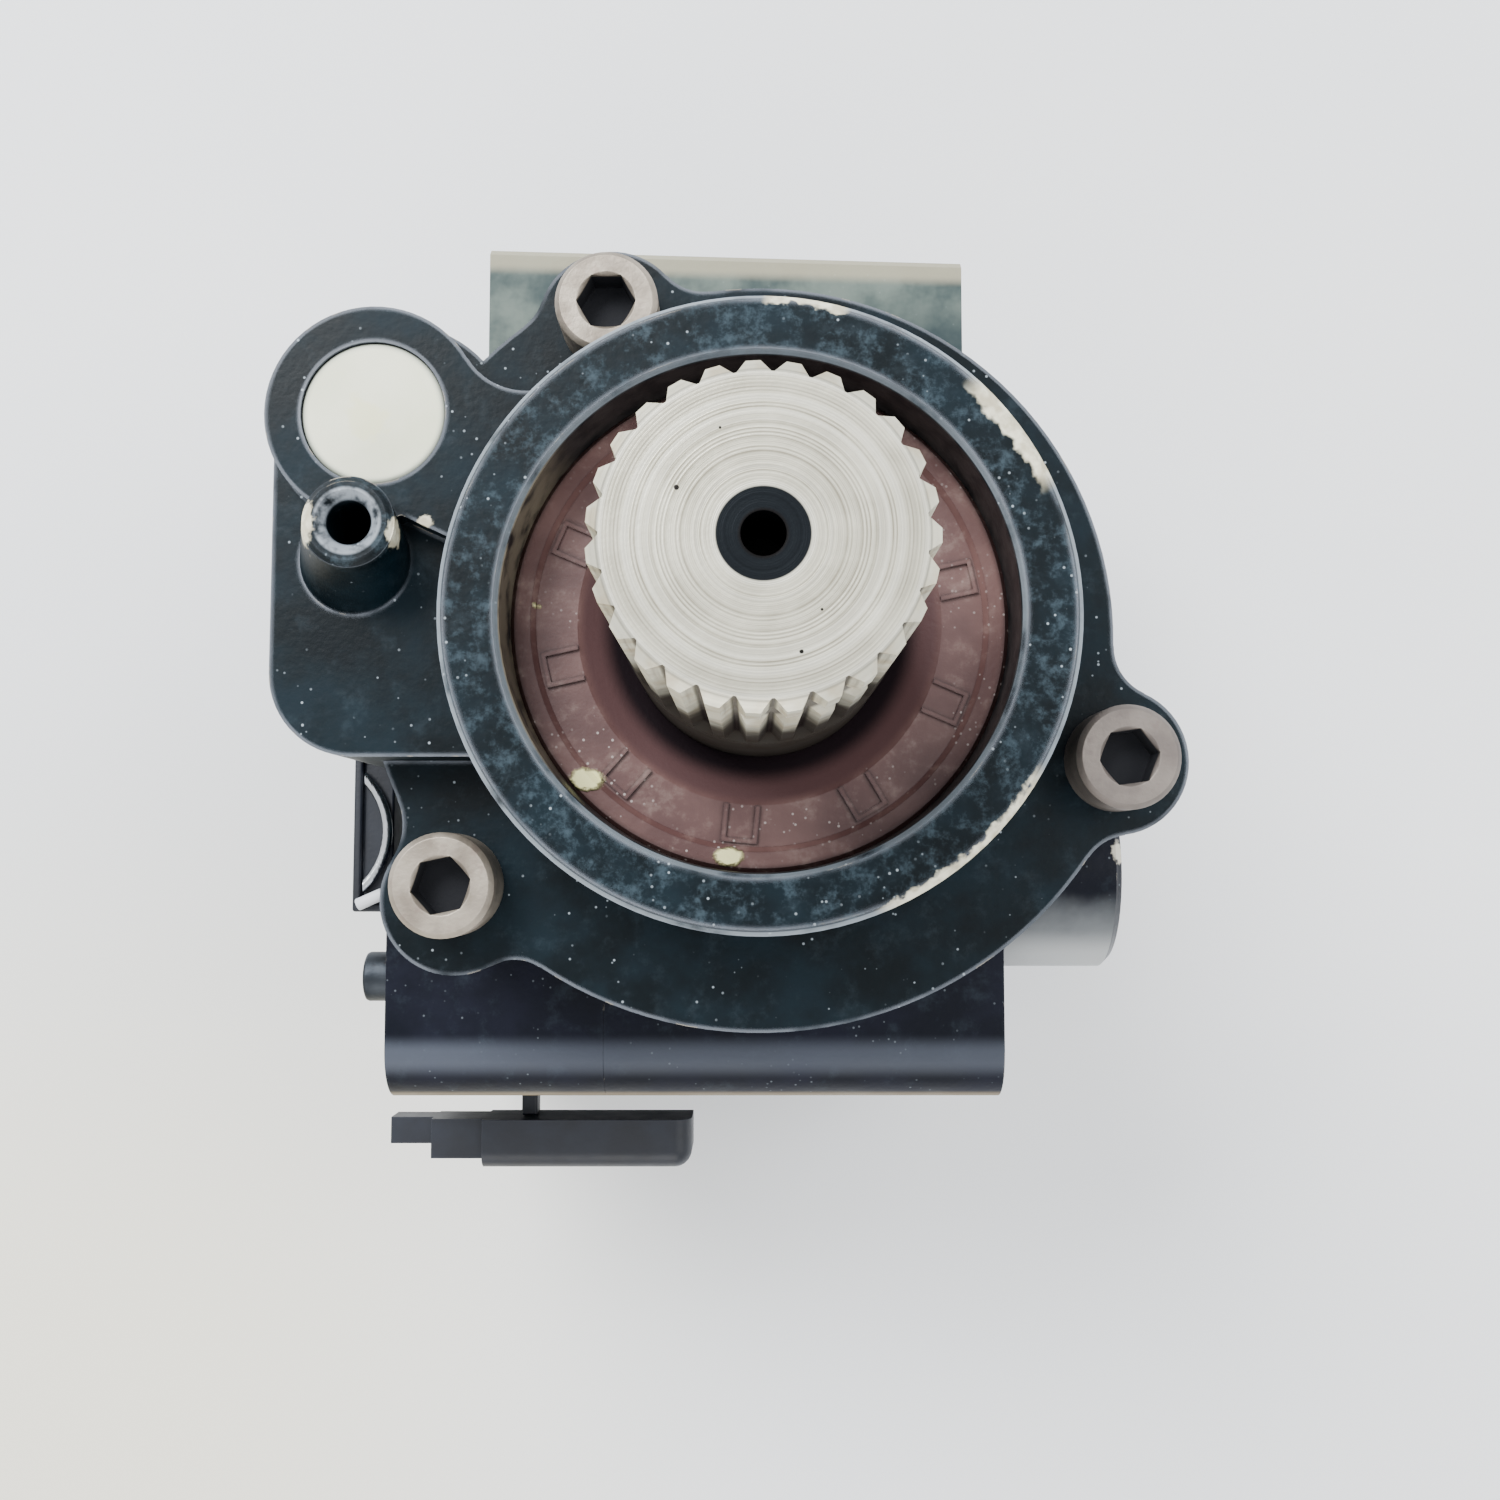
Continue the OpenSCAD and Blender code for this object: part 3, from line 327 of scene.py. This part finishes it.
def dark_housing():
    m, c, fine, cloud, bare, specks = paint("dark_housing", (6, 10, 22), (16, 19, 34), 0.2, 0.3, 0.07)
    x, y, z = m.sep()
    # painted reflection as a tan line along the lowest edge, and a painted highlight band on the rounding
    # above it
    rounding_highlight = m.mul(between(m, y, -0.0472, -0.0418, 0.0022), m.step(z, -0.036, -0.030), 0.5)
    c = m.mix(rounding_highlight, c, lin(100, 106, 118))
    c = m.mix(m.mul(m.step(y, -0.0486, -0.0492), m.step(z, -0.0335, -0.0312), 0.6), c, lin(150, 132, 98))
    # side cap: painted reflection, dark above and pale grey towards its lower side, with one nick on its rim
    cap = m.mul(m.step(x, 0.0283, 0.0286), m.step(m.sep(m.nrm)[0], 0.9, 0.4))
    wavy = m.math("ADD", y, m.mul(m.noise(5, 3.0), 0.004))
    c = m.mix(m.mul(cap, m.step(wavy, -0.0235, -0.0300), 0.9), c, lin(122, 126, 128))
    c = m.mix(m.mul(cap, m.step(y, -0.0300, -0.0335), 0.8), c, lin(184, 186, 186))
    nick = m.spot((41.6, -21.2, -25.2), 1.2, flat=(1.0, 0.7, 1.0))
    c = m.mix(nick, c, lin(214, 208, 190))
    bare = m.add(bare, nick)
    return finish_paint(m, c, fine, cloud, bare, specks, 0.42, 0.03)


def plug():
    m = Mat("plug", rough=0.5, spec=0.4)
    c = m.mix(m.step(m.noise(7, 3.0), 0.3, 0.7), lin(232, 235, 204), lin(243, 244, 218))
    stain = m.mul(m.spot((-36.9, 18.9, 9), 2.4, wob=0.9, size=2.2), 0.45)
    c = m.mix(stain, c, lin(240, 238, 182))
    c = m.mix(m.step(from_axis(m, LOBE), 0.0060, 0.0067), c, lin(176, 182, 168))
    m.color(c)
    m.bump(m.noise(2.5, 3.0), 0.05)
    m.rough(m.blend(m.noise(1.5, 2.0), 0.42, 0.6))
    return m.m


def seal_rubber():
    m = Mat("seal_rubber", spec=0.4)
    _, rad, _ = polar(m)
    c = m.mix(m.step(m.noise(6, 4.0), 0.3, 0.72), lin(86, 60, 58), lin(110, 82, 78))
    # painted shade: darker towards the shaft, near black right beside it
    c = m.mix(m.step(rad, 0.0173, 0.0163), c, lin(82, 58, 58))
    c = m.mix(m.step(rad, 0.0156, 0.0136), c, lin(22, 13, 18))
    c = m.mix(m.mul(m.edges(0.35, 0.02, 0.2), m.step(rad, 0.0168, 0.0172), 0.7), c, lin(48, 30, 32))
    c = m.mix(m.step(rad, 0.0226, 0.0233), c, lin(64, 44, 42))
    out = m.step(rad, 0.0168, 0.0174)
    low = m.step(m.sep()[1], 0.006, -0.008, 0.35, 1.0)
    dust = m.mul(m.step(m.cells(0.8), 0.20, 0.10), m.step(m.noise(5, 3.0), 0.40, 0.60), 0.6, out, low)
    c = m.mix(dust, c, lin(206, 196, 190))
    film = m.mul(m.step(m.noise(3, 5.0, 0.7), 0.50, 0.76), 0.28, out)
    c = m.mix(film, c, lin(172, 154, 144))
    grains = None
    for p, r, fl in (((-16.1, -14.8, 6.9), 1.8, (1, 1.5, 1)), ((-2.9, -22.0, 6.9), 1.6, (1, 1.6, 1)),
                     ((-20.9, 1.6, 7.0), 0.6, (1, 1, 1))):
        s = m.spot(p, r, wob=0.25, flat=fl)
        grains = s if grains is None else m.add(grains, s)
    c = m.mix(grains, c, lin(244, 240, 176))
    m.color(c)
    m.rough(m.blend(m.add(dust, grains), 0.42, 0.7))
    m.bump(m.noise(0.5, 2.0), 0.03)
    m.bump(grains, 0.4)
    return m.m


def rubber(name, base, light, rough=0.6):
    m = Mat(name, spec=0.35)
    c = m.mix(m.step(m.noise(4, 4.0), 0.35, 0.7), lin(*base), lin(*light))
    m.color(c)
    m.rough(m.blend(m.noise(1.5, 2.0), rough - 0.1, rough + 0.1))
    m.bump(m.noise(0.6, 3.0), 0.04)
    return m.m


def metal(name, base, light, rough, turned=None, stain=None):
    """Bare metal: cloudy tone, fine scratches, optional turning marks round the Z axis."""
    m = Mat(name, metal=1.0)
    cloud = m.noise(5, 4.0)
    c = m.mix(m.step(cloud, 0.3, 0.7), lin(*base), lin(*light))
    if stain:
        c = m.mix(m.mul(m.step(m.noise(2.2, 5.0, 0.65), 0.55, 0.75), 0.8), c, lin(*stain))
    m.color(c)
    m.rough(m.blend(m.noise(1.3, 3.0), rough - 0.07, rough + 0.12))
    m.bump(m.noise(0.45, 3.0), 0.02)
    if turned:
        _, rad, z = polar(m)
        rings = m.noise(turned, 2.0, 0.6, co=m.comb(rad, 0.0, z))
        m.bump(rings, 0.03)
    return m.m


def shaft_steel():
    m = Mat("shaft_steel", metal=0.85)
    _, rad, z = polar(m)
    cloud = m.noise(6, 4.0, 0.6)
    c = m.mix(m.step(cloud, 0.3, 0.7), lin(214, 210, 190), lin(238, 234, 214))
    face = m.step(z, 0.0450, 0.04515)
    wob = m.math("ADD", rad, m.mul(m.noise(9, 1.0), 0.0002))
    rings = m.noise(0.26, 3.0, 0.7, co=m.comb(wob, 0.0, 0.0))
    broad = m.noise(1.0, 2.0, 0.6, co=m.comb(wob, 0.004, 0.0))
    tone = m.step(rings, 0.36, 0.64)
    c = m.mix(m.mul(tone, face, m.step(m.noise(4, 3.0), 0.2, 0.7, 0.5, 0.9)), c, lin(112, 106, 90))
    c = m.mix(m.mul(m.step(broad, 0.5, 0.62), face, 0.35), c, lin(240, 238, 224))
    groove = m.step(m.noise(0.5, 1.0, co=m.comb(rad, 0.0, 0.0)), 0.4, 0.6)
    rim = m.mul(between(m, rad, 0.0098, 0.0110, 0.0002), groove)
    c = m.mix(m.mul(rim, face, 0.45), c, lin(132, 126, 112))
    # ends of the teeth, and painted shade between them and low down on them
    side = m.math("SUBTRACT", 1.0, face)
    c = m.mix(m.mul(side, m.step(m.noise(2.2, 4.0), 0.42, 0.7), 0.6), c, lin(196, 180, 148))
    c = m.mix(m.mul(side, m.step(rad, 0.01175, 0.01150), 0.8), c, lin(48, 42, 42))
    painted_shade_low = m.step(m.math("ADD", z, m.mul(m.noise(3, 3.0), 0.006)), 0.0455, 0.0285)
    c = m.mix(m.mul(side, painted_shade_low, 0.97), c, lin(26, 19, 19))
    # painted shade: the centre hole dark, its bottom darker still
    hole = m.step(rad, 0.0034, 0.00325)
    c = m.mix(hole, c, lin(20, 24, 28))
    c = m.mix(m.step(rad, 0.0019, 0.0016), c, lin(16, 14, 14))
    pits = None
    for px, py, r in ((-6.0, 3.2, 0.22), (2.6, -8.2, 0.18), (4.0, -5.3, 0.13), (-3.0, 7.4, 0.12)):
        s = m.spot((px, py, SHAFT_TOP_MM), r, wob=0.3, size=0.3)
        pits = s if pits is None else m.add(pits, s)
    c = m.mix(pits, c, lin(30, 28, 26))
    m.color(c)
    m.metal(m.blend(m.mul(side, painted_shade_low), 0.85, 0.1))
    m.put(m.b.inputs["Specular IOR Level"], m.blend(m.mul(side, painted_shade_low), 0.5, 0.05))
    m.rough(m.blend(m.mul(side, painted_shade_low), m.blend(tone, 0.36, 0.52), 0.75))
    m.bump(m.mul(rings, face), 0.035)
    m.bump(m.noise(0.35, 3.0), 0.012)
    return m.m


def worn_screw():
    m = Mat("worn_screw", metal=0.7)
    x, _, z = m.sep()
    c = m.mix(m.step(m.noise(3.2, 3.0, 0.5), 0.3, 0.7), lin(134, 124, 112), lin(170, 160, 146))
    e = m.edges(0.35, 0.03, 0.2)
    c = m.mix(m.mul(e, 0.6), c, lin(206, 200, 184))
    c = m.mix(m.mul(m.step(m.noise(1.6, 4.0), 0.56, 0.72), 0.35), c, lin(120, 98, 92))
    # darker screw on the right, and painted shade in the three sockets
    c = m.mix(m.mul(m.step(x, 0.020, 0.025), 0.6), c, lin(92, 86, 88))
    socket = None
    for centre in SCREWS:
        k = m.step(from_axis(m, centre), 0.00312, 0.00300)
        socket = k if socket is None else m.add(socket, k)
    socket = m.mul(socket, m.step(z, 0.0059, 0.0054))
    c = m.mix(socket, c, lin(12, 14, 22))
    m.color(c)
    m.metal(m.blend(socket, 0.7, 0.0))
    m.rough(m.blend(socket, m.blend(m.noise(1.0, 3.0), 0.38, 0.62), 0.8))
    m.bump(m.noise(0.5, 4.0), 0.04)
    return m.m


def board():
    m = Mat("board", rough=0.4)
    z = m.sep()[2]
    t = m.step(m.math("SINE", m.math("MULTIPLY", z, 2600.0)), 0.55, 0.7)
    c = m.mix(m.step(m.noise(5, 3.0), 0.3, 0.7), lin(22, 70, 44), lin(34, 92, 58))
    c = m.mix(m.mul(t, 0.5), c, lin(58, 122, 84))
    m.color(c)
    m.rough(m.blend(t, 0.45, 0.3))
    m.bump(t, 0.03)
    return m.m


def plastic(name, base, light, rough=0.45):
    m = Mat(name, spec=0.5)
    c = m.mix(m.step(m.noise(5, 3.0), 0.3, 0.7), lin(*base), lin(*light))
    # painted edge highlight: the edges lightened
    e = m.mul(m.edges(0.35, 0.04, 0.25), 0.35)
    c = m.mix(e, c, lin(*[min(255, v + 40) for v in light]))
    m.color(c)
    m.rough(m.blend(m.noise(2, 3.0), rough - 0.07, rough + 0.1))
    m.bump(m.noise(0.4, 2.0), 0.02)
    return m.m


MATS = {
    "black_casting": black_casting(),
    "dark_housing": dark_housing(),
    "plug": plug(),
    "seal_rubber": seal_rubber(),
    "black_rubber": rubber("black_rubber", (16, 18, 20), (30, 32, 34)),
    "gasket": rubber("gasket", (42, 46, 44), (66, 70, 66), 0.7),
    "worn_screw": worn_screw(),
    "dark_steel": metal("dark_steel", (40, 44, 49), (66, 70, 75), 0.45, stain=(44, 36, 32)),
    "shaft_steel": shaft_steel(),
    "gear_steel": metal("gear_steel", (128, 132, 136), (160, 164, 168), 0.32, stain=(96, 88, 76)),
    "bright_steel": metal("bright_steel", (196, 199, 202), (222, 224, 226), 0.18, turned=0.3),
    "bronze": metal("bronze", (166, 116, 62), (198, 148, 88), 0.34, turned=0.4, stain=(112, 74, 38)),
    "magnet": metal("magnet", (96, 100, 104), (132, 136, 140), 0.3),
    "lamination": metal("lamination", (96, 98, 100), (126, 128, 130), 0.42, stain=(92, 72, 52)),
    "copper": metal("copper", (176, 94, 50), (212, 128, 76), 0.3, stain=(110, 52, 26)),
    "board": board(),
    "component": plastic("component", (26, 28, 30), (44, 46, 48)),
    "connector_plastic": plastic("connector_plastic", (9, 13, 23), (20, 25, 36), 0.45),
    "contact": metal("contact", (198, 160, 84), (226, 192, 120), 0.25),
    "white_plastic": plastic("white_plastic", (214, 218, 224), (232, 234, 238)),
}


# ---- Pieces made from the CAD shapes, with rounded edges ----------------------


def rounded(node, width_mm):
    """A piece in the place of a CAD node: welded, its flats merged, its sharp edges rounded."""
    src = NODES[node]
    bm = bmesh.new()
    bm.from_mesh(src.data)
    bmesh.ops.remove_doubles(bm, verts=bm.verts, dist=0.002 * MM)
    bmesh.ops.dissolve_limit(bm, angle_limit=math.radians(0.6), verts=bm.verts, edges=bm.edges,
                             use_dissolve_boundaries=False, delimit={"NORMAL"})
    mesh = bpy.data.meshes.new(node + "_shell")
    bm.to_mesh(mesh)
    bm.free()
    o = bpy.data.objects.new(node + "_shell", mesh)
    bpy.context.scene.collection.objects.link(o)
    mesh.polygons.foreach_set("use_smooth", [True] * len(mesh.polygons))
    mesh.set_sharp_from_angle(angle=math.radians(60))
    b = o.modifiers.new("round", "BEVEL")
    b.width = width_mm * MM
    b.segments = 2
    b.limit_method = "ANGLE"
    b.angle_limit = math.radians(28)
    b.use_clamp_overlap = True
    b.miter_outer = "MITER_ARC"
    b.harden_normals = False
    w = o.modifiers.new("normals", "WEIGHTED_NORMAL")
    w.weight = 80
    w.keep_sharp = False
    t = o.modifiers.new("tri", "TRIANGULATE")
    t.quad_method = "BEAUTY"
    t.keep_custom_normals = True
    dg = bpy.context.evaluated_depsgraph_get()
    done = bpy.data.meshes.new_from_object(o.evaluated_get(dg))
    o.modifiers.clear()
    o.data = done
    o.data.materials.clear()
    o.data.materials.append(MATS[SLOT[node]])
    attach(o, BODY[node])
    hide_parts(node)


ROUND = {
    "front_cover": 0.35, "gear_housing": 0.35, "motor_housing": 0.4, "control_housing": 0.35,
    "terminal_housing": 0.35, "rear_cover": 0.5, "cover_screws": 0.22,
    "bore_plug": 0.2, "connector_body": 0.3, "connector_neck": 0.3,
    "side_cap": 0.4, "clip_body": 0.3, "side_stud": 0.4, "tie_bolts": 0.2, "clip_pin": 0.15,
}
for n, w in ROUND.items():
    rounded(n, w)

for n, o in NODES.items():
    o.data.materials.clear()
    o.data.materials.append(MATS[SLOT[n]])


# ---- Floor, light, camera -----------------------------------------------------


FLOOR_HALF = 1.2
FLOOR_Z = -0.0961
CAMERA_AT = (-0.0010009, -0.022651, 0.146864)
CAMERA_TURN = (0.07557, -0.0007, 0)
LENS_MM = 36
SENSOR_MM = 36
WORLD_COLOR = (0.93, 0.96, 1.0, 1)
WORLD_STRENGTH = 1.15


def floor():
    mesh = bpy.data.meshes.new("floor")
    s = FLOOR_HALF
    mesh.from_pydata([(-s, -s, 0), (s, -s, 0), (s, s, 0), (-s, s, 0)], [], [(0, 1, 2, 3)])
    o = bpy.data.objects.new("floor", mesh)
    bpy.context.scene.collection.objects.link(o)
    o.location = (0, 0, FLOOR_Z)
    m = Mat("paper", rough=0.9, spec=0.2)
    x, y, _ = m.sep()
    warm = m.mul(m.step(x, 0.02, -0.10), m.step(y, 0.02, -0.10))
    c = m.mix(m.step(m.noise(90, 2.0), 0.3, 0.7), lin(248, 250, 252), lin(252, 253, 254))
    c = m.mix(m.mul(warm, 0.8), c, lin(250, 244, 222))
    m.color(c)
    m.bump(m.noise(3, 3.0), 0.02)
    mesh.materials.append(m.m)


def area(name, size, power, loc, color):
    """A rectangular light aimed at the origin."""
    d = bpy.data.lights.new(name, "AREA")
    d.shape = "RECTANGLE"
    d.size, d.size_y = size
    d.energy = power
    d.color = color
    o = bpy.data.objects.new(name, d)
    bpy.context.scene.collection.objects.link(o)
    o.location = loc
    o.rotation_euler = (-Vector(loc)).to_track_quat("-Z", "Y").to_euler()


floor()
area("key", (0.5, 0.4), 11.0, (-0.35, 0.45, 0.62), (0.97, 0.985, 1.0))
area("fill", (0.6, 0.6), 4.0, (0.55, 0.15, 0.6), (1.0, 1.0, 1.0))
area("low", (0.6, 0.4), 2.2, (-0.1, -0.6, 0.4), (1.0, 0.975, 0.93))

world = bpy.data.worlds.new("studio")
bpy.context.scene.world = world
world.use_nodes = True
world.node_tree.nodes["Background"].inputs[0].default_value = WORLD_COLOR
world.node_tree.nodes["Background"].inputs[1].default_value = WORLD_STRENGTH

cam_data = bpy.data.cameras.new("camera")
cam_data.lens = LENS_MM
cam_data.sensor_width = SENSOR_MM
cam_data.clip_start = 0.01
cam = bpy.data.objects.new("camera", cam_data)
bpy.context.scene.collection.objects.link(cam)
cam.location = CAMERA_AT
cam.rotation_euler = CAMERA_TURN
bpy.context.scene.camera = cam
